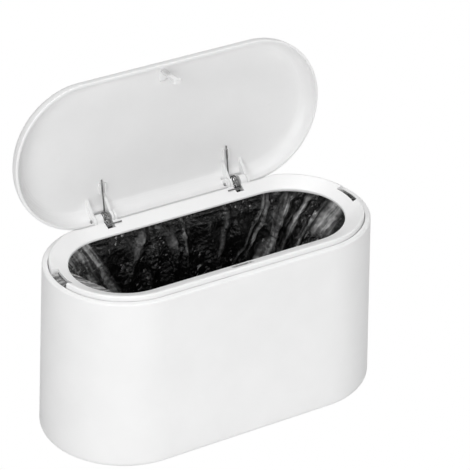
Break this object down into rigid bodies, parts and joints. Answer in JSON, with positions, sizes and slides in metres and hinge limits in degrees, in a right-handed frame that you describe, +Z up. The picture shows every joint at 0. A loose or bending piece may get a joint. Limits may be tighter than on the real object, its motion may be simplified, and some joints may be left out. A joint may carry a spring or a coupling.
{
  "type": "countertop bin",
  "caption": "Small obround white countertop waste bin with a push-to-open lid, shown open, a lift-off collar and a black liner bag.",
  "frame": {"origin": "middle of the underside, on the table plane", "axes": "+X along the length to the right, +Y to the back where the lid is hinged, +Z up"},
  "size_m": [0.2258, 0.1131, 0.2139],
  "materials": {
    "white_shell": "satin",
    "pale_plastic": "matte",
    "black_film": "gloss",
    "steel_wire": "satin",
    "spring_steel": "satin"
  },
  "bodies": {
    "bin": {"bin_body": "white_shell", "bag": "black_film"},
    "top": {"collar": "white_shell", "hinge_pin_left": "steel_wire", "hinge_pin_right": "steel_wire", "lid_spring_left": "spring_steel", "lid_spring_right": "spring_steel", "latch_housing": "pale_plastic", "latch_cap": "pale_plastic", "latch_screws": "steel_wire", "latch_spring": "spring_steel"},
    "lid_body": {"lid": "white_shell"},
    "plunger": {"latch_plunger": "pale_plastic", "jaw_pins": "steel_wire"},
    "jaw_l": {"latch_jaw_left": "steel_wire"},
    "jaw_r": {"latch_jaw_right": "steel_wire"},
    "follower": {"cam_follower": "steel_wire"}
  },
  "joints": [
    {"name": "collar_lift", "type": "slide", "parent": "bin", "child": "top", "axis": [0, 0, 1], "range_m": [0, 0.06]},
    {"name": "lid_hinge", "type": "hinge", "parent": "top", "child": "lid_body", "pos_m": [0, 0.0467, 0.1187], "axis": [1, 0, 0], "range_deg": [0, 93], "stiffness_Nm_per_rad": 0.012, "springref_deg": -68.75, "deforming": ["lid_spring_left", "lid_spring_right"]},
    {"name": "latch_press", "type": "slide", "parent": "top", "child": "plunger", "axis": [0, 0, -1], "range_m": [0, 0.0045], "stiffness_N_per_m": 250, "springref_m": -0.001, "deforming": ["latch_spring"]},
    {"name": "jaw_left_turn", "type": "hinge", "parent": "plunger", "child": "jaw_l", "pos_m": [-0.0046, -0.0392, 0.1065], "axis": [0, 1, 0], "range_deg": [0, 12.05]},
    {"name": "jaw_right_turn", "type": "hinge", "parent": "plunger", "child": "jaw_r", "pos_m": [0.0046, -0.0392, 0.1065], "axis": [0, 1, 0], "range_deg": [-12.05, 0]},
    {"name": "cam_swing", "type": "hinge", "parent": "top", "child": "follower", "pos_m": [0.0079, -0.0392, 0.089], "axis": [1, 0, 0], "range_deg": [0, 8.79]}
  ],
  "couplings": [
    {"joint": "jaw_left_turn", "follows": "latch_press", "rad_per_m": 46.542},
    {"joint": "jaw_right_turn", "follows": "latch_press", "rad_per_m": -46.542},
    {"joint": "cam_swing", "follows": "latch_press", "rad_per_m": 33.886}
  ]
}
